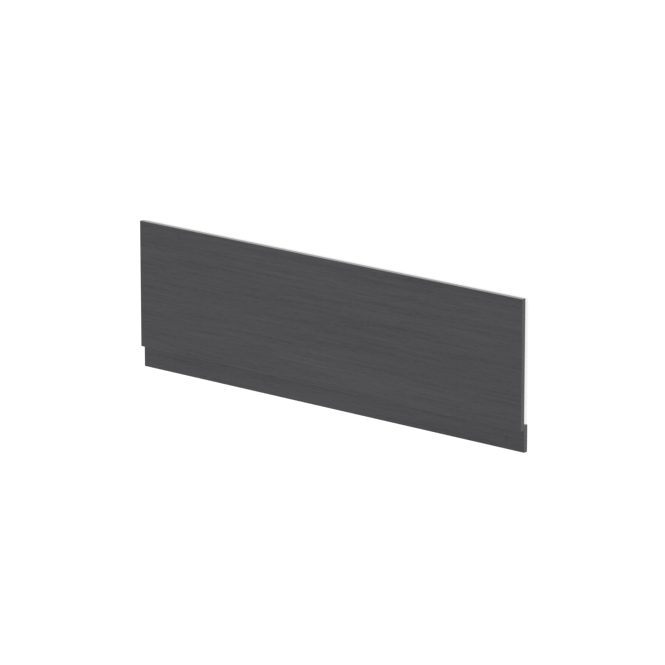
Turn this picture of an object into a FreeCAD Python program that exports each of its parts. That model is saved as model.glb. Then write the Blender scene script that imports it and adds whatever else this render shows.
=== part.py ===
"""Bath front panel: a wide board with a plinth board screwed behind its lower edge.

The panel lies on its back on the floor with its finished face up. X runs along the boards, +Y runs from
the plinth's foot to the panel's top edge, and +Z comes out of the finished face. The origin is the middle
of the bottom of the whole part's box. Sizes are in millimetres.
"""
import FreeCAD, Part
import os
import Sketcher
from enum import IntEnum

doc = FreeCAD.newDocument("bath_panel")

# Driving sizes
SIZES = {
    "panel_length": 1700,  # both boards, cut to the length of a standard bath
    "panel_height": 462,
    "panel_thickness": 18,
    "plinth_height": 96.5,
    "plinth_thickness": 18,
    "plinth_overlap": 18.5,  # how far the plinth reaches up behind the panel
    "arris_radius": 1,  # every edge of a board is eased by this much
    "screw_count": 5,
    "screw_end_inset": 100,  # from a board's end to the nearest screw
    "screw_head_diameter": 8,
    "screw_shank_diameter": 4,
    "screw_head_sink": 0.3,  # the heads sit this far below the plinth's back
    "screw_point_length": 4,
    "screw_tip_diameter": 0.8,
    "shank_clearance": 0.5,  # on the diameter, in the plinth
    "pilot_clearance": 0.1,  # on the diameter, in the panel
    "pilot_tip_room": 0.7,  # from a screw's tip to the end of its pilot hole
    "pilot_skin": 5,  # solid board left between a pilot hole and the finished face
    "countersink_angle": 90,
}
sizes = doc.addObject("Spreadsheet::Sheet", "sizes")
for row, (alias, value) in enumerate(SIZES.items(), start=1):
    sizes.set(f"A{row}", alias)
    sizes.set(f"B{row}", str(value))
    sizes.setAlias(f"B{row}", alias)
doc.recompute()

# Sizes and places that follow from the driving sizes
OVERALL_HEIGHT = "(sizes.panel_height + sizes.plinth_height - sizes.plinth_overlap)"
FOOT_Y = f"(-{OVERALL_HEIGHT} / 2)"
PANEL_LOWER_EDGE_Y = f"({OVERALL_HEIGHT} / 2 - sizes.panel_height)"
FIRST_SCREW_X = "(sizes.screw_end_inset - sizes.panel_length / 2)"
SCREW_ROW_LENGTH = "(sizes.panel_length - 2 * sizes.screw_end_inset)"
SCREW_PITCH = f"({SCREW_ROW_LENGTH} / (sizes.screw_count - 1))"
PILOT_DEPTH = "(sizes.panel_thickness - sizes.pilot_skin)"
SCREW_LENGTH = f"(sizes.plinth_thickness - sizes.screw_head_sink + {PILOT_DEPTH} - sizes.pilot_tip_room)"
HEAD_RADIUS = "(sizes.screw_head_diameter / 2)"
SHANK_RADIUS = "(sizes.screw_shank_diameter / 2)"
COUNTERSINK_SLOPE = "tan(sizes.countersink_angle * 1 deg / 2)"
HEAD_DEPTH = f"(({HEAD_RADIUS} - {SHANK_RADIUS}) / {COUNTERSINK_SLOPE})"
COUNTERSINK_DIAMETER = f"(sizes.screw_head_diameter + 2 * sizes.screw_head_sink * {COUNTERSINK_SLOPE})"


class Axis(IntEnum):
    """A sketch's own axes, by the numbers that its constraints use."""
    X = -1
    Y = -2


class Point(IntEnum):
    """The points of a sketch element, by the numbers that its constraints use."""
    START = 1
    END = 2
    CENTRE = 3


ORIGIN = (Axis.X, Point.START)


def origin_feature(body, role):
    """One of a body's own planes or axes."""
    return next(feature for feature in body.Origin.OriginFeatures if feature.Role == role)


def new_sketch(body, name, role):
    """An empty sketch on one of a body's own planes."""
    sketch = body.newObject("Sketcher::SketchObject", name)
    sketch.AttachmentSupport = (origin_feature(body, role), [""])
    sketch.MapMode = "FlatFace"
    return sketch


def bind(sketch, name, expression, kind, *where):
    """A named sketch dimension that takes its value from the sheet in place of the 1 mm it starts with."""
    index = sketch.addConstraint(Sketcher.Constraint(kind, *where, 1.0))
    sketch.renameConstraint(index, name)
    sketch.setExpression(f"Constraints.{name}", expression)


def closed_outline(sketch, corners):
    """Straight lines from corner to corner, joined end to end."""
    points = [FreeCAD.Vector(x, y, 0) for x, y in corners]
    for start, end in zip(points, points[1:] + points[:1]):
        sketch.addGeometry(Part.LineSegment(start, end))
    for line in range(len(points)):
        following = (line + 1) % len(points)
        sketch.addConstraint(Sketcher.Constraint("Coincident", line, Point.END, following, Point.START))


def add_board(name, height, thickness):
    """A board flat on XY: its lower edge lies on the X axis, centred, and its back is at Z = 0."""
    body = doc.addObject("PartDesign::Body", name)
    outline = new_sketch(body, f"{name}_outline", "XY_Plane")
    end_x, upper_y = sizes.panel_length / 2, sizes.get(height)
    closed_outline(outline, [(-end_x, 0), (end_x, 0), (end_x, upper_y), (-end_x, upper_y)])
    lower, right, upper, left = range(4)
    outline.addConstraint(Sketcher.Constraint("Horizontal", upper))
    for line in (left, right):
        outline.addConstraint(Sketcher.Constraint("Vertical", line))
    outline.addConstraint(Sketcher.Constraint("PointOnObject", lower, Point.START, Axis.X))
    outline.addConstraint(
        Sketcher.Constraint("Symmetric", lower, Point.START, lower, Point.END, Axis.Y))
    bind(outline, "length", "sizes.panel_length", "DistanceX", lower, Point.START, lower, Point.END)
    bind(outline, "height", f"sizes.{height}", "DistanceY", right, Point.START, right, Point.END)

    blank = body.newObject("PartDesign::Pad", f"{name}_blank")
    blank.Profile = outline
    blank.setExpression("Length", f"sizes.{thickness}")
    doc.recompute()

    eased = body.newObject("PartDesign::Fillet", f"{name}_eased_edges")
    eased.Base = (blank, [f"Edge{number}" for number in range(1, len(blank.Shape.Edges) + 1)])
    eased.setExpression("Radius", "sizes.arris_radius")
    doc.recompute()
    return body


def add_first_hole(body, row_y, diameter):
    """The first hole of a row, drilled from the back of a board; the caller gives its depth."""
    centre = new_sketch(body, f"{body.Name}_first_hole", "XY_Plane")
    start = FreeCAD.Vector(sizes.screw_end_inset - sizes.panel_length / 2, sizes.plinth_overlap / 2, 0)
    rim = centre.addGeometry(Part.Circle(start, FreeCAD.Vector(0, 0, 1), sizes.screw_shank_diameter / 2))
    bind(centre, "hole_diameter", diameter, "Diameter", rim)
    bind(centre, "hole_x", FIRST_SCREW_X, "DistanceX", *ORIGIN, rim, Point.CENTRE)
    bind(centre, "hole_y", row_y, "DistanceY", *ORIGIN, rim, Point.CENTRE)
    doc.recompute()

    hole = body.newObject("PartDesign::Hole", f"{body.Name}_hole")
    hole.Profile = centre
    hole.Reversed = True
    hole.DrillPoint = "Flat"
    hole.setExpression("Diameter", diameter)
    return hole


def repeat_along_row(body, hole):
    """The same hole at every screw."""
    row = body.newObject("PartDesign::LinearPattern", f"{body.Name}_hole_row")
    row.Originals = [hole]
    row.Direction = (origin_feature(body, "X_Axis"), [""])
    row.setExpression("Length", SCREW_ROW_LENGTH)
    row.setExpression("Occurrences", "sizes.screw_count")
    body.Tip = row
    doc.recompute()


def add_front_panel():
    """The wide finished board, with blind pilot holes near the lower edge of its back."""
    body = add_board("front_panel", "panel_height", "panel_thickness")
    body.setExpression("Placement.Base.y", PANEL_LOWER_EDGE_Y)
    body.setExpression("Placement.Base.z", "sizes.plinth_thickness")
    pilot = add_first_hole(body, "sizes.plinth_overlap / 2",
                           "sizes.screw_shank_diameter + sizes.pilot_clearance")
    pilot.DepthType = "Dimension"
    pilot.setExpression("Depth", PILOT_DEPTH)
    repeat_along_row(body, pilot)
    return body


def add_plinth():
    """The narrow board behind the panel, with countersunk holes right through its overlap."""
    body = add_board("plinth", "plinth_height", "plinth_thickness")
    body.setExpression("Placement.Base.y", FOOT_Y)
    clearance = add_first_hole(body, "sizes.plinth_height - sizes.plinth_overlap / 2",
                               "sizes.screw_shank_diameter + sizes.shank_clearance")
    clearance.DepthType = "ThroughAll"
    clearance.HoleCutType = "Countersink"
    clearance.setExpression("HoleCutDiameter", COUNTERSINK_DIAMETER)
    clearance.setExpression("HoleCutCountersinkAngle", "sizes.countersink_angle * 1 deg")
    repeat_along_row(body, clearance)
    return body


def add_screw(place):
    """A countersunk wood screw, turned about Z from the face of its head up to its point."""
    body = doc.addObject("PartDesign::Body", f"plinth_screw_{place + 1}")
    half = new_sketch(body, f"{body.Name}_half_section", "XZ_Plane")
    head_x, shank_x = sizes.screw_head_diameter / 2, sizes.screw_shank_diameter / 2
    tip_x, tip_y = sizes.screw_tip_diameter / 2, sizes.plinth_thickness + sizes.panel_thickness
    point_y = tip_y - sizes.screw_point_length
    closed_outline(half, [(0, 0), (head_x, 0), (shank_x, head_x - shank_x), (shank_x, point_y),
                          (tip_x, tip_y), (0, tip_y)])
    face, cone, shank, point, tip, axis = range(6)
    half.addConstraint(Sketcher.Constraint("Coincident", face, Point.START, *ORIGIN))
    for line in (face, tip):
        half.addConstraint(Sketcher.Constraint("Horizontal", line))
    for line in (shank, axis):
        half.addConstraint(Sketcher.Constraint("Vertical", line))
    bind(half, "head_radius", HEAD_RADIUS, "DistanceX", face, Point.START, face, Point.END)
    bind(half, "shank_radius", SHANK_RADIUS, "DistanceX", *ORIGIN, cone, Point.END)
    bind(half, "head_depth", HEAD_DEPTH, "DistanceY", cone, Point.START, cone, Point.END)
    bind(half, "point_length", "sizes.screw_point_length", "DistanceY", point, Point.START, point, Point.END)
    bind(half, "tip_radius", "sizes.screw_tip_diameter / 2", "DistanceX", axis, Point.START, point, Point.END)
    bind(half, "length", SCREW_LENGTH, "DistanceY", axis, Point.END, axis, Point.START)

    turned = body.newObject("PartDesign::Revolution", f"{body.Name}_turned")
    turned.Profile = half
    turned.ReferenceAxis = (half, ["V_Axis"])
    turned.Angle = 360

    body.setExpression("Placement.Base.x", f"{FIRST_SCREW_X} + {place} * {SCREW_PITCH}")
    body.setExpression("Placement.Base.y", f"{PANEL_LOWER_EDGE_Y} + sizes.plinth_overlap / 2")
    body.setExpression("Placement.Base.z", "sizes.screw_head_sink")
    return body


pieces = [add_front_panel(), add_plinth()]
pieces += [add_screw(place) for place in range(int(sizes.screw_count))]
doc.recompute()

# Every object has to be sound before anything is written
for item in doc.Objects:
    if {"Invalid", "Error"} & set(item.State):
        raise RuntimeError(f"{item.Name} did not compute: {item.State}")
for piece in pieces:
    if piece.Shape.isNull() or not piece.Shape.isValid():
        raise RuntimeError(f"{piece.Label} has no valid shape")

os.makedirs("parts", exist_ok=True)
for piece in pieces:
    piece.Shape.exportStep(f"parts/{piece.Label}.step")
    box = piece.Shape.BoundBox
    print(f"{piece.Label}: {box.XLength:.2f} x {box.YLength:.2f} x {box.ZLength:.2f} mm, "
          f"{piece.Shape.Volume:.1f} mm3, from Z {box.ZMin:.2f}")
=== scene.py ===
# %% [markdown]
# # A bath front panel in dark grey woodgrain
#
# The real object is two boards: a wide panel and a narrow plinth, which is screwed behind the panel's
# lower edge and shows below it. Both are pressed board with a printed woodgrain film on their faces and a
# strip of edging in the same decor round their edges. Here the panel lies on its back on a white floor,
# finished face up, and the camera looks down on it from the photograph's angle. The boards come ready made
# from the frame, so this lesson is about their finish, the screws on the hidden side, and plain light that
# shows both. Lengths are in metres, and small ones are millimetres times MM.

# %% Load the frame
import math

import bmesh
import bpy
from mathutils import Matrix, Vector


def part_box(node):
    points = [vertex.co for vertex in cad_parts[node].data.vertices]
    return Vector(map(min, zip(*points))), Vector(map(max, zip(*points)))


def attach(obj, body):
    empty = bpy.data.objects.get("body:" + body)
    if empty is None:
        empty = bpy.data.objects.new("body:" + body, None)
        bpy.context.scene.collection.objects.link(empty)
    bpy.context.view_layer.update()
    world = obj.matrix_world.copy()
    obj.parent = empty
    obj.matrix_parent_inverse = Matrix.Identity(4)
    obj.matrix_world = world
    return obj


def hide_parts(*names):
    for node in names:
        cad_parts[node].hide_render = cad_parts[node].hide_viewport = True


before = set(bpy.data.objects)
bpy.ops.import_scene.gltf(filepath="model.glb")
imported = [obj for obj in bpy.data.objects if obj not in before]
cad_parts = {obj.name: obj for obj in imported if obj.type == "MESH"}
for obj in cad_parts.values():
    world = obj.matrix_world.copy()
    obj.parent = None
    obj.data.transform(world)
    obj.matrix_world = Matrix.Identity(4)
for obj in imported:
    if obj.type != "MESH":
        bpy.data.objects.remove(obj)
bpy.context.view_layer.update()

MM = 0.001
panel_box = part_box("front_panel")
plinth_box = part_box("plinth")
screw_nodes = sorted(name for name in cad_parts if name.startswith("plinth_screw"))
print("screws behind the plinth:", len(screw_nodes))

# %% [markdown]
# ## Camera
#
# The photograph shows the panel standing, seen from its right end and a little from above. A camera could
# be placed by eye, but straight boards show every degree, so its turn, rise, distance and focal length
# were worked out from the edges of the boards in the picture. Because the panel lies on its back here, the
# whole camera is tipped back with it: what was up in the photograph is +Y, and what was towards the viewer
# is +Z.

# %% Camera at the photograph's angle
PICTURE_SIDE = 665  # pixels
FOCAL_LENGTH = 5012  # pixels
TURN = math.radians(39.19)  # round the standing panel, from square on towards its right end
RISE = math.radians(15.47)
DISTANCE = 17.307
AIM_ALONG = 0.0317  # from the middle of the panel
AIM_UP = 0.2825  # from the plinth's foot
SENSOR_WIDTH = 36  # millimetres
VIEW_REACH = 200  # past the far edge of the floor

face_z = panel_box[1].z
foot_y = plinth_box[0].y
aim = Vector((AIM_ALONG, foot_y + AIM_UP, face_z))
towards_camera = Vector((math.sin(TURN) * math.cos(RISE), math.sin(RISE), math.cos(TURN) * math.cos(RISE)))
picture_right = Vector((math.cos(TURN), 0, -math.sin(TURN)))
picture_up = towards_camera.cross(picture_right)

lens = bpy.data.cameras.new("camera")
lens.sensor_width = SENSOR_WIDTH
lens.lens = SENSOR_WIDTH * FOCAL_LENGTH / PICTURE_SIDE
lens.clip_end = VIEW_REACH
camera = bpy.data.objects.new("camera", lens)
camera.matrix_world = Matrix.Translation(aim + towards_camera * DISTANCE) @ Matrix(
    (picture_right, picture_up, towards_camera)).transposed().to_4x4()
bpy.context.scene.collection.objects.link(camera)
bpy.context.scene.camera = camera
bpy.context.scene.view_settings.view_transform = "Standard"
print("lens, mm:", round(lens.lens, 1))

# %% [markdown]
# ## Writing shader nodes
#
# A node tree can be built by hand in the editor, or in code one node and one link at a time, which soon
# fills pages. Two small helpers keep it readable: one adds a node and fills its sockets with values or
# links, and the other does the same for arithmetic.


# %% Helpers for nodes
def add_node(tree, kind, sockets=(), **settings):
    """Adds a node; sockets pairs each input's name or number with a value or another node's output."""
    made = tree.nodes.new(kind)
    for name, value in settings.items():
        setattr(made, name, value)
    for socket, value in dict(sockets).items():
        if isinstance(value, bpy.types.NodeSocket):
            tree.links.new(value, made.inputs[socket])
        else:
            made.inputs[socket].default_value = value
    return made


def calculate(tree, operation, *values):
    """The result of one Math node."""
    return add_node(tree, "ShaderNodeMath", enumerate(values), operation=operation).outputs["Value"]


print("helpers for nodes are ready")

# %% [markdown]
# ## Floor and light
#
# The photograph has a plain white ground and no strong shadow, as in a white room lit from all round. A
# bright lamp would bleach the boards to get there, so the ground is made white instead: rays from the
# camera and mirror-like rays see a glow that lifts a plain floor to white, while the light that the floor
# throws on the boards stays ordinary. The world is white in the same way where it is seen, and gives even
# light. One broad sun from almost straight above adds just enough shade to show the step from panel to
# plinth.

# %% White floor
FLOOR_REACH = 70

shape = bmesh.new()
bmesh.ops.create_grid(shape, x_segments=1, y_segments=1, size=FLOOR_REACH)
floor_mesh = bpy.data.meshes.new("floor")
shape.to_mesh(floor_mesh)
shape.free()
floor = bpy.data.objects.new("floor", floor_mesh)
bpy.context.scene.collection.objects.link(floor)
print("floor, metres across:", 2 * FLOOR_REACH)

# %% Material: white floor
FLOOR_GREY = 0.26  # the share of the light on it that it scatters
FLOOR_GLOW = 0.84  # enough to make the lit floor white and leave a soft shadow


def seen_directly(tree):
    """1 for a ray from the camera, a reflection or a view through glass, and 0 for scattered light."""
    path = tree.nodes.new("ShaderNodeLightPath").outputs
    seen_or_mirrored = calculate(tree, "MAXIMUM", path["Is Camera Ray"], path["Is Glossy Ray"])
    return calculate(tree, "MAXIMUM", seen_or_mirrored, path["Is Transmission Ray"])


floor_finish = bpy.data.materials.new("white_floor")
floor_finish.use_nodes = True
tree = floor_finish.node_tree
tree.nodes.clear()
plain = add_node(tree, "ShaderNodeBsdfDiffuse", {"Color": (FLOOR_GREY, FLOOR_GREY, FLOOR_GREY, 1)})
glow_strength = calculate(tree, "MULTIPLY", seen_directly(tree), FLOOR_GLOW)
glow = add_node(tree, "ShaderNodeEmission", {"Strength": glow_strength})
both = add_node(tree, "ShaderNodeAddShader", {0: plain.outputs["BSDF"], 1: glow.outputs["Emission"]})
add_node(tree, "ShaderNodeOutputMaterial", {"Surface": both.outputs["Shader"]})
floor_mesh.materials.append(floor_finish)
print("material:", floor_finish.name)

# %% Even light and one broad sun
ROOM_LIGHT = 0.42
SUN_LIGHT = 2.0
SUN_SPREAD = math.radians(30)
SUN_FROM = Vector((0.06, 0.06, 1))

room = bpy.data.worlds.new("white_room")
room.use_nodes = True
tree = room.node_tree
tree.nodes.clear()
lift = calculate(tree, "MULTIPLY", seen_directly(tree), 1 - ROOM_LIGHT)
room_strength = calculate(tree, "ADD", lift, ROOM_LIGHT)
air = add_node(tree, "ShaderNodeBackground", {"Color": (1, 1, 1, 1), "Strength": room_strength})
add_node(tree, "ShaderNodeOutputWorld", {"Surface": air.outputs["Background"]})
bpy.context.scene.world = room

sun_lamp = bpy.data.lights.new("broad_sun", "SUN")
sun_lamp.energy = SUN_LIGHT
sun_lamp.angle = SUN_SPREAD
sun = bpy.data.objects.new("broad_sun", sun_lamp)
sun.rotation_mode = "QUATERNION"
sun.rotation_quaternion = SUN_FROM.to_track_quat("Z", "Y")
bpy.context.scene.collection.objects.link(sun)
print("light on the finished face:", round(ROOM_LIGHT + SUN_LIGHT / math.pi * SUN_FROM.normalized().z, 3))

# %% [markdown]
# ## Building node groups
#
# Both boards have the same grain and edging. Their nodes could be copied from one material into the other,
# but every change would then be made twice. A node group is built once, with named inputs and outputs, and
# placed in each material like a single node. The first helpers below start a group, link what it puts out,
# and place it. The others give what a pattern is made of: a vector's parts and arithmetic, a blend of two
# values, and a smooth rise from 0 to 1.


# %% Helpers for node groups
def new_group(name, inputs, outputs):
    """An empty shader node group with its sockets, and its two end nodes."""
    group = bpy.data.node_groups.new(name, "ShaderNodeTree")
    for way, sockets in (("INPUT", inputs), ("OUTPUT", outputs)):
        for socket, kind in sockets.items():
            group.interface.new_socket(socket, in_out=way, socket_type=f"NodeSocket{kind}")
    return group, group.nodes.new("NodeGroupInput").outputs, group.nodes.new("NodeGroupOutput").inputs


def put_out(group, result, values):
    """Links each named value to the group's output of that name."""
    for name, value in values.items():
        group.links.new(value, result[name])
    print("group:", group.name, "puts out", ", ".join(values))


def place_group(tree, group, sockets):
    """The outputs of a group that is placed in a material."""
    return add_node(tree, "ShaderNodeGroup", sockets, node_tree=group).outputs


print("helpers for node groups are ready")

# %% Helpers for patterns
# The numbers of a Mix node's two inputs and of its output, for each kind of data
MIX_SOCKETS = {"FLOAT": (2, 3, 0), "VECTOR": (4, 5, 1), "RGBA": (6, 7, 2)}


def calculate_vector(tree, operation, *values):
    """The result of one Vector Math node."""
    return add_node(tree, "ShaderNodeVectorMath", enumerate(values), operation=operation).outputs["Vector"]


def split(tree, vector):
    """The X, Y and Z of a vector."""
    return add_node(tree, "ShaderNodeSeparateXYZ", {"Vector": vector}).outputs


def blend(tree, kind, share, first, second):
    """The first value where share is 0, the second where it is 1, and a mix of them between."""
    first_input, second_input, output = MIX_SOCKETS[kind]
    sockets = {0: share, first_input: first, second_input: second}
    return add_node(tree, "ShaderNodeMix", sockets, data_type=kind).outputs[output]


def ramp(tree, value, start, end):
    """0 at start and before it, 1 at end and after it, with a smooth rise between them."""
    sockets = {"Value": value, "From Min": start, "From Max": end}
    return add_node(tree, "ShaderNodeMapRange", sockets, interpolation_type="SMOOTHSTEP").outputs["Result"]


print("helpers for patterns are ready")

# %% [markdown]
# ## Which way the grain runs
#
# The film's grain runs along the boards. The edging is a separate strip, so on the two ends its grain runs
# along the strip, across the boards. An unwrapped picture could be turned there, but a pattern worked out
# from position needs no unwrapping: this group hands on the position as it is, and swaps length and height
# wherever the surface faces along X.

# %% Group: grain direction
END_FACING = (0.6, 0.8)  # how far a surface faces along X before it counts as an end

grain_direction, given, result = new_group(
    "grain_direction", {"Position": "Vector", "Facing": "Vector"}, {"Along Grain": "Vector"})
tree = grain_direction
place = split(tree, given["Position"])
turned = add_node(tree, "ShaderNodeCombineXYZ", {"X": place["Y"], "Y": place["X"], "Z": place["Z"]})
facing = split(tree, given["Facing"])
on_end = ramp(tree, calculate(tree, "ABSOLUTE", facing["X"]), *END_FACING)
along = blend(tree, "VECTOR", on_end, given["Position"], turned.outputs["Vector"])
put_out(tree, result, {"Along Grain": along})

# %% [markdown]
# ## Woodgrain film
#
# The decor is a print: broad soft bands, streaks a few millimetres wide, and fine fibres, with thin dark
# pores pressed into the surface. Wood could be drawn with rings from a Wave texture, but this decor shows
# no rings. Four Noise textures, each stretched along the grain to the length and width of one kind of
# mark, give every scale its own strength. A slow sideways drift keeps the streaks from being ruler
# straight, and the pores crowd together in the dark streaks, as they do in timber.

# %% Sizes of the woodgrain
# Length and width of each kind of mark, its detail, and how much it changes the tone
GRAIN_MARKS = {
    "bands": (0.85, 0.055, 1.5, 0.24),
    "streaks": (0.30, 0.0085, 2.0, 0.26),
    "fibres": (0.10, 0.0011, 2.0, 0.36),
}
DRIFT = 4 * MM  # to either side, at most
DRIFT_SIZE = (0.55, 0.16, 0.16)  # over how much of the board the drift changes
PORE_LENGTH, PORE_WIDTH = 26 * MM, 0.42 * MM
PORE_START, PORE_END = 0.60, 0.72  # noise below the first is plain film, and above the second a whole pore
PORE_CROWDING = 0.30  # how strongly a dark streak draws pores
PORE_TONE = 0.30  # taken off the tone in a whole pore
FIBRE_RELIEF = 0.3  # beside a pore's depth of 1
MIDDLE_TONE = 0.5  # halfway from the deep grey to the pale one
NOISE_MIDDLE = 0.5
print("woodgrain marks:", ", ".join(GRAIN_MARKS), "and pores", PORE_LENGTH / MM, "mm long")


# %% Group: woodgrain
def stretched_noise(tree, position, sizes, detail):
    """Noise between 0 and 1 whose marks are about as large as sizes along X, Y and Z."""
    in_marks = calculate_vector(tree, "MULTIPLY", position, [1 / size for size in sizes])
    sockets = {"Vector": in_marks, "Scale": 1, "Detail": detail}
    return add_node(tree, "ShaderNodeTexNoise", sockets).outputs["Fac"]


woodgrain, given, result = new_group(
    "woodgrain", {"Along Grain": "Vector"}, {"Tone": "Float", "Pores": "Float", "Relief": "Float"})
tree = woodgrain
wander = stretched_noise(tree, given["Along Grain"], DRIFT_SIZE, detail=1)
sideways = calculate(tree, "MULTIPLY", calculate(tree, "SUBTRACT", wander, NOISE_MIDDLE), 2 * DRIFT)
shift = add_node(tree, "ShaderNodeCombineXYZ", {"Y": sideways, "Z": sideways})
drifted = calculate_vector(tree, "ADD", given["Along Grain"], shift.outputs["Vector"])

tone = MIDDLE_TONE
centred = {}
for mark, (length, width, detail, strength) in GRAIN_MARKS.items():
    noise = stretched_noise(tree, drifted, (length, width, width), detail)
    centred[mark] = calculate(tree, "SUBTRACT", noise, NOISE_MIDDLE)
    tone = calculate(tree, "MULTIPLY_ADD", centred[mark], strength, tone)
pore_noise = stretched_noise(tree, drifted, (PORE_LENGTH, PORE_WIDTH, PORE_WIDTH), detail=0)
crowded = calculate(tree, "MULTIPLY_ADD", centred["streaks"], -PORE_CROWDING, pore_noise)
pores = ramp(tree, crowded, PORE_START, PORE_END)
tone = calculate(tree, "SUBTRACT", tone, calculate(tree, "MULTIPLY", pores, PORE_TONE))
relief = calculate(tree, "SUBTRACT", calculate(tree, "MULTIPLY", centred["fibres"], FIBRE_RELIEF), pores)
put_out(tree, result, {"Tone": tone, "Pores": pores, "Relief": relief})

# %% [markdown]
# ## Edging
#
# The strip on a board's edges is a millimetre thick and its corners are scraped round, so where it meets
# the film there is a fine glue line, and the rounded corner is a little paler. That paleness is partly the
# scraped strip's own and partly a painted highlight, as of light caught along the corner. A separate strip
# of mesh would be a layer that the eye can't find, so the line and the corner are masks. The group measures
# how far a point is from the sides of its board, which the board's material tells it, and which way the
# surface faces. What faces sideways further in than any strip is the wall of a screw hole, so the group
# finds those walls too.

# %% Group: edging
EDGING_THICKNESS = 1.0 * MM
GLUE_LINE_WIDTH = 0.18 * MM
FACE_FACING = (0.90, 0.98)  # how far a surface faces along Z before it counts as the film
CORNER_FACING = (0.93, 0.995)  # how far it faces along any one axis before it counts as flat
HOLE_MARGIN = (1.8 * MM, 2.2 * MM)  # what faces sideways deeper in than this is the wall of a hole

edging, given, result = new_group(
    "edging", {"Position": "Vector", "Facing": "Vector", "Middle": "Vector", "Half Size": "Vector"},
    {"Edging": "Float", "Scraped Corner And Highlight": "Float", "Glue Line": "Float", "Hole Wall": "Float"})
tree = edging
offset = calculate_vector(tree, "SUBTRACT", given["Position"], given["Middle"])
offset = calculate_vector(tree, "ABSOLUTE", offset)
depth = split(tree, calculate_vector(tree, "SUBTRACT", given["Half Size"], offset))
from_side = calculate(tree, "MINIMUM", depth["X"], depth["Y"])
deep = ramp(tree, from_side, *HOLE_MARGIN)

facing = split(tree, calculate_vector(tree, "ABSOLUTE", given["Facing"]))
on_film = ramp(tree, facing["Z"], *FACE_FACING)
off_film = calculate(tree, "SUBTRACT", 1, on_film)
squarest = calculate(tree, "MAXIMUM", calculate(tree, "MAXIMUM", facing["X"], facing["Y"]), facing["Z"])
rounded = calculate(tree, "SUBTRACT", 1, ramp(tree, squarest, *CORNER_FACING))

line_middle = EDGING_THICKNESS + GLUE_LINE_WIDTH / 2
off_line = calculate(tree, "ABSOLUTE", calculate(tree, "SUBTRACT", from_side, line_middle))
line = calculate(tree, "SUBTRACT", 1, ramp(tree, off_line, GLUE_LINE_WIDTH / 4, GLUE_LINE_WIDTH / 2))
line = calculate(tree, "MULTIPLY", line, on_film)
hole_wall = calculate(tree, "MULTIPLY", off_film, deep)
edge = calculate(tree, "SUBTRACT", off_film, hole_wall)
# the rounded corner, whose tone is lifted partly as scraped paleness and partly as a painted highlight
pale_corner_and_highlight = calculate(tree, "SUBTRACT", rounded, calculate(tree, "MULTIPLY", rounded, deep))
put_out(tree, result, {"Edging": edge, "Scraped Corner And Highlight": pale_corner_and_highlight, "Glue Line": line, "Hole Wall": hole_wall})

# %% [markdown]
# ## Bare board
#
# A drill goes through the film, so the walls of the holes show what the boards are made of: pressed chips
# of pale and dark wood. A Noise texture gives soft clouds, but chips have sharp borders, so each cell of a
# Voronoi texture is one chip, and its random colour picks a shade between two browns.

# %% Group: bare board
CHIP_SIZE = 1.2 * MM
CHIP_DARK = (0.16, 0.095, 0.05, 1)
CHIP_PALE = (0.47, 0.34, 0.21, 1)

bare_board, given, result = new_group("bare_board", {"Position": "Vector"}, {"Colour": "Color"})
tree = bare_board
chip = add_node(tree, "ShaderNodeTexVoronoi", {"Vector": given["Position"], "Scale": 1 / CHIP_SIZE})
chip_shade = add_node(tree, "ShaderNodeSeparateColor", {"Color": chip.outputs["Color"]}).outputs["Red"]
put_out(tree, result, {"Colour": blend(tree, "RGBA", chip_shade, CHIP_DARK, CHIP_PALE)})

# %% [markdown]
# ## The boards' finish
#
# Both boards have the same film and edging, but they are cut from different sheets. One material could
# serve both, but its grain would then run on across the joint, so each board has its own, which starts the
# grain at another place. The colour goes from a deep to a pale grey with the grain's tone, and the plinth's
# greys are darkened a little as painted shade, for the shade it lies in below the panel's edge. The film is
# satin, and the edging has a clear lacquer, which is why the panel's top edge catches the white room: seen
# at a low angle, even a dark lacquered surface mirrors a good part of what is behind it.

# %% Greys and gloss of the boards
DEEP_GREY = (0.0293, 0.0293, 0.0311)
PALE_GREY = (0.0948, 0.0948, 0.1004)
GLUE_GREY = (0.020, 0.020, 0.021, 1)
PLINTH_PAINTED_SHADE = 0.965  # painted shade: the plinth's greys are darkened for the shade it lies in below the panel's edge
PANEL_GRAIN_START, PLINTH_GRAIN_START = (3.1, 0.7, 0.2), (7.4, 2.3, 1.1)
CORNER_PALENESS_AND_HIGHLIGHT = 0.12  # added to the tone on the rounded corner: partly the scraped strip's own paleness, partly a painted highlight
FILM_ROUGHNESS, EDGING_ROUGHNESS, BARE_ROUGHNESS = 0.46, 0.30, 0.85
PORE_ROUGHNESS = 0.20  # added to the film's
FILM_SHINE = 0.12  # plain plastic has 0.5
COAT_ROUGHNESS, COAT_INDEX = 0.12, 1.45  # of the lacquer on the edging
RELIEF_HEIGHT = 0.12 * MM
RELIEF_STRENGTH = 0.25


def with_painted_shade(colour, painted_shade):
    """A grey of the film, made darker by the given factor as painted shade, with the alpha that a socket
    needs.
    """
    return [part * painted_shade for part in colour] + [1]


print("film, from grey", DEEP_GREY, "to", PALE_GREY)


# %% Helper for materials
def new_finish(name):
    """A material with only a Principled BSDF and its output, and that shader."""
    material = bpy.data.materials.new(name)
    material.use_nodes = True
    tree = material.node_tree
    tree.nodes.clear()
    shader = tree.nodes.new("ShaderNodeBsdfPrincipled")
    add_node(tree, "ShaderNodeOutputMaterial", {"Surface": shader.outputs["BSDF"]})
    return material, tree, shader


print("helper for materials is ready")


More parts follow.
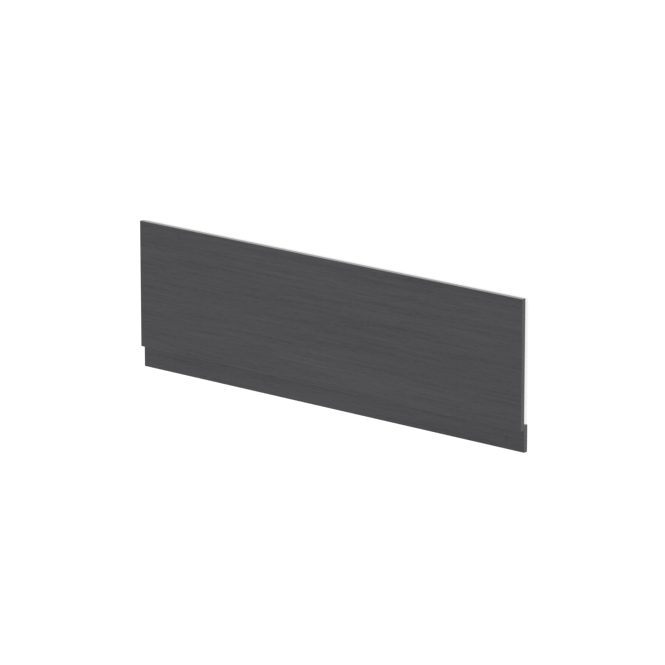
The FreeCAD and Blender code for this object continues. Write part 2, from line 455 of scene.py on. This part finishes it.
# %% Materials: panel film and plinth film
def board_finish(name, box, grain_start, painted_shade):
    """The film and edging of one board, which fills box and shows the decor from grain_start on."""
    material, tree, shader = new_finish(name)
    here = tree.nodes.new("ShaderNodeTexCoord").outputs
    surface = {"Position": here["Object"], "Facing": here["Normal"]}
    board = {"Middle": (box[0] + box[1]) / 2, "Half Size": (box[1] - box[0]) / 2}
    mask = place_group(tree, edging, {**surface, **board})
    along = place_group(tree, grain_direction, surface)["Along Grain"]
    started = add_node(tree, "ShaderNodeMapping", {"Vector": along, "Location": grain_start})
    grain = place_group(tree, woodgrain, {"Along Grain": started.outputs["Vector"]})
    bare = place_group(tree, bare_board, {"Position": here["Object"]})

    # the rounded corner is lifted paler: partly the scraped edging's own paleness, partly a painted
    # highlight
    tone = calculate(tree, "MULTIPLY_ADD", mask["Scraped Corner And Highlight"], CORNER_PALENESS_AND_HIGHLIGHT, grain["Tone"])
    # on the plinth these greys are darkened as painted shade, for the shade it lies in below the panel's
    # edge
    colour = blend(tree, "RGBA", tone, with_painted_shade(DEEP_GREY, painted_shade), with_painted_shade(PALE_GREY, painted_shade))
    colour = blend(tree, "RGBA", mask["Glue Line"], colour, GLUE_GREY)
    colour = blend(tree, "RGBA", mask["Hole Wall"], colour, bare["Colour"])
    tree.links.new(colour, shader.inputs["Base Color"])

    roughness = calculate(tree, "MULTIPLY_ADD", grain["Pores"], PORE_ROUGHNESS, FILM_ROUGHNESS)
    roughness = blend(tree, "FLOAT", mask["Edging"], roughness, EDGING_ROUGHNESS)
    roughness = blend(tree, "FLOAT", mask["Hole Wall"], roughness, BARE_ROUGHNESS)
    tree.links.new(roughness, shader.inputs["Roughness"])
    shader.inputs["Specular IOR Level"].default_value = FILM_SHINE
    tree.links.new(mask["Edging"], shader.inputs["Coat Weight"])
    shader.inputs["Coat Roughness"].default_value = COAT_ROUGHNESS
    shader.inputs["Coat IOR"].default_value = COAT_INDEX

    relief = calculate(tree, "SUBTRACT", grain["Relief"], mask["Glue Line"])
    bump = add_node(tree, "ShaderNodeBump",
                    {"Strength": RELIEF_STRENGTH, "Distance": RELIEF_HEIGHT, "Height": relief})
    tree.links.new(bump.outputs["Normal"], shader.inputs["Normal"])
    return material


panel_film = board_finish("panel_film", panel_box, PANEL_GRAIN_START, painted_shade=1)
plinth_film = board_finish("plinth_film", plinth_box, PLINTH_GRAIN_START, painted_shade=PLINTH_PAINTED_SHADE)
print("materials:", panel_film.name, "and", plinth_film.name)

# %% Dress the boards
for node, material in (("front_panel", panel_film), ("plinth", plinth_film)):
    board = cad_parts[node]
    board.data.materials.clear()
    board.data.materials.append(material)
    print(node, "is dressed in", material.name)

# %% [markdown]
# ## Zinc plate
#
# The screws are steel with a bright zinc plate: a pale blue-grey metal, a little cloudy, and duller where
# it has rubbed against its neighbours in the box. Colour and roughness could each have a texture, but a
# dull patch of plate is also a darker one, so one Noise texture drives both.

# %% Material: zinc plate
CLOUD_SIZE, CLOUD_DETAIL = 1.5 * MM, 3
DULL_START, DULL_END = 0.35, 0.70  # noise below the first is bright plate, and above the second dull
BRIGHT_ZINC = (0.62, 0.63, 0.65, 1)
DULL_ZINC = (0.40, 0.41, 0.42, 1)
BRIGHT_ROUGHNESS, DULL_ROUGHNESS = 0.22, 0.48

zinc, tree, shader = new_finish("zinc_plate")
here = tree.nodes.new("ShaderNodeTexCoord").outputs
cloud = add_node(tree, "ShaderNodeTexNoise",
                 {"Vector": here["Object"], "Scale": 1 / CLOUD_SIZE, "Detail": CLOUD_DETAIL})
dullness = ramp(tree, cloud.outputs["Fac"], DULL_START, DULL_END)
colour = blend(tree, "RGBA", dullness, BRIGHT_ZINC, DULL_ZINC)
roughness = blend(tree, "FLOAT", dullness, BRIGHT_ROUGHNESS, DULL_ROUGHNESS)
tree.links.new(colour, shader.inputs["Base Color"])
tree.links.new(roughness, shader.inputs["Roughness"])
shader.inputs["Metallic"].default_value = 1
print("material:", zinc.name)

# %% [markdown]
# ## Screws
#
# Each screw is a piece of wire with a head, a cross recess pressed in the head, and a point. A turned
# shape is usually spun from half its section, but a spun head is round everywhere and has no place for the
# recess. So the head starts from the recess: a grid without its corners is a cross, its border is extruded
# out to the rim of the head, and the rim goes on, loop by loop, down the shank to the point. All the
# screws are alike, so one is shaped, with the face of its head at height 0, and copied to each place.

# %% Size of a screw, and helpers to shape it
screw_low, screw_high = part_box(screw_nodes[0])
screw_length = screw_high.z - screw_low.z
head_radius = (screw_high.x - screw_low.x) / 2


def open_loop(shape):
    """The edges round the one opening of an unfinished shape, and their vertices."""
    edges = [edge for edge in shape.edges if edge.is_boundary]
    return edges, {vert for edge in edges for vert in edge.verts}


def extrude_loop(shape, radius, height):
    """Draws the opening out to a circle of this radius at this height, with its points spread evenly."""
    edges, _ = open_loop(shape)
    bmesh.ops.extrude_edge_only(shape, edges=edges)
    _, loop = open_loop(shape)
    step = 2 * math.pi / len(loop)
    for place, vert in enumerate(sorted(loop, key=lambda v: math.atan2(v.co.y, v.co.x))):
        turn = (place + 0.5) * step - math.pi
        vert.co = radius * math.cos(turn), radius * math.sin(turn), height


print("screw, mm long:", round(screw_length / MM, 1), "mm across the head:", round(2 * head_radius / MM, 1))

# %% Cross recess and head of a screw
RECESS_SPAN = 4.4 * MM
RECESS_CELLS, ARM_CELLS = 11, 3  # along each side of the grid, and across each arm of the cross
RECESS_DEPTH = 2.3 * MM
RECESS_TAPER = 0.35  # size of the recess's floor beside its mouth
RIM_ROUNDING = 0.08 * MM
RIM_FLAT = 0.16 * MM  # a flat ring inside the rim, which keeps the rounding from shading the whole face


def from_arms(face):
    """How far the middle of a grid cell is from the nearer of the cross's two centre lines."""
    return min(abs(part) for part in face.calc_center_median().xy)


screw_shape = bmesh.new()
bmesh.ops.create_grid(screw_shape, x_segments=RECESS_CELLS, y_segments=RECESS_CELLS, size=RECESS_SPAN / 2)
half_arm = RECESS_SPAN / 2 * ARM_CELLS / RECESS_CELLS
corners = [face for face in screw_shape.faces if from_arms(face) > half_arm]
bmesh.ops.delete(screw_shape, geom=corners, context="FACES")
cross = list(screw_shape.faces)
rim = head_radius - 2 * RIM_ROUNDING
for radius in (rim - RIM_FLAT, rim):
    extrude_loop(screw_shape, radius, height=0)
pressed = bmesh.ops.extrude_face_region(screw_shape, geom=cross)["geom"]
bmesh.ops.delete(screw_shape, geom=cross, context="FACES")
recess_floor = [item for item in pressed if isinstance(item, bmesh.types.BMVert)]
bmesh.ops.scale(screw_shape, verts=recess_floor, vec=(RECESS_TAPER, RECESS_TAPER, 1))
bmesh.ops.translate(screw_shape, verts=recess_floor, vec=(0, 0, RECESS_DEPTH))
print("faces of the head and its recess:", len(screw_shape.faces))

# %% Shank and point of a screw
SHANK_RADIUS = 1.45 * MM
SHOULDER_LENGTH = 0.45 * MM  # from the shank down to the thinner core
CORE_RADIUS = 1.25 * MM
THREAD_START = 4.5 * MM  # from the face of the head
POINT_LENGTH = 5 * MM

head_height = head_radius - SHANK_RADIUS  # because a countersunk head slopes at 45 degrees
point_start = screw_length - POINT_LENGTH
for radius, height in ((head_radius - RIM_ROUNDING, RIM_ROUNDING / 2), (SHANK_RADIUS, head_height),
                       (SHANK_RADIUS, THREAD_START), (CORE_RADIUS, THREAD_START + SHOULDER_LENGTH),
                       (CORE_RADIUS, point_start), (0, screw_length)):
    extrude_loop(screw_shape, radius, height)
_, tip = open_loop(screw_shape)
bmesh.ops.pointmerge(screw_shape, verts=list(tip), merge_co=(0, 0, screw_length))
print("faces with the shank and point:", len(screw_shape.faces))

# %% [markdown]
# ## Thread
#
# The thread is a coarse ridge rolled up out of the wire, which rises from nothing under the head and runs
# out with the point. A Screw modifier could wind it, but at one height all the way. Here a small triangle
# is spun round the core and moved along it a little at each step, and then every point of the ridge is
# drawn in towards the axis by as much as the rise and the run-out ask.

# %% Thread of a screw
THREAD_RADIUS = 1.95 * MM
THREAD_PITCH = 1.8 * MM
THREAD_FOOT = 0.35 * MM  # half the width of the thread where it leaves the core
THREAD_ROOTING = 0.09 * MM  # how far the thread's foot lies inside the core
STEPS_PER_TURN = 16

wire = set(screw_shape.verts)
foot_radius = CORE_RADIUS - THREAD_ROOTING
section = [screw_shape.verts.new((radius, 0, THREAD_START + side * THREAD_FOOT))
           for radius, side in ((foot_radius, -1), (THREAD_RADIUS, 0), (foot_radius, 1))]
face = screw_shape.faces.new(section)
steps = round((screw_length - THREAD_PITCH - THREAD_START) / THREAD_PITCH * STEPS_PER_TURN)
bmesh.ops.spin(screw_shape, geom=[face, *face.edges, *section], cent=(0, 0, 0), axis=(0, 0, 1),
               dvec=(0, 0, THREAD_PITCH / STEPS_PER_TURN), angle=steps * 2 * math.pi / STEPS_PER_TURN,
               steps=steps)
for vert in set(screw_shape.verts) - wire:
    rise = min(1, max(0, (vert.co.z - THREAD_START) / THREAD_PITCH))
    run_out = min(1, (screw_length - vert.co.z) / POINT_LENGTH)
    radius = vert.co.xy.length
    wanted = (foot_radius + (radius - foot_radius) * rise) * run_out
    vert.co.xy *= wanted / radius
bmesh.ops.recalc_face_normals(screw_shape, faces=screw_shape.faces)
open_edges = sum(not edge.is_manifold for edge in screw_shape.edges)
print("turns of thread:", round(steps / STEPS_PER_TURN, 1), "open edges of the screw:", open_edges)

# %% A screw in every hole
SHARP_ANGLE = math.radians(35)
TURN_BETWEEN_SCREWS = math.radians(137.5)  # no two stop at the same angle


def place_screw(number, node):
    """One copy of the screw in the place of its node, riding with the boards."""
    low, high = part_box(node)
    head_middle = Vector(((low.x + high.x) / 2, (low.y + high.y) / 2, low.z))
    driven = Matrix.Translation(head_middle) @ Matrix.Rotation(number * TURN_BETWEEN_SCREWS, 4, "Z")
    shape = screw_shape.copy()
    bmesh.ops.transform(shape, matrix=driven, verts=shape.verts)
    mesh = bpy.data.meshes.new(f"zinc_screw_{number}")
    shape.to_mesh(mesh)
    shape.free()
    mesh.shade_smooth()
    mesh.set_sharp_from_angle(angle=SHARP_ANGLE)
    mesh.materials.append(zinc)
    screw = bpy.data.objects.new(mesh.name, mesh)
    bpy.context.scene.collection.objects.link(screw)
    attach(screw, "root")
    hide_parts(node)
    print(screw.name, "faces:", len(mesh.polygons))


for number, node in enumerate(screw_nodes, start=1):
    place_screw(number, node)
screw_shape.free()
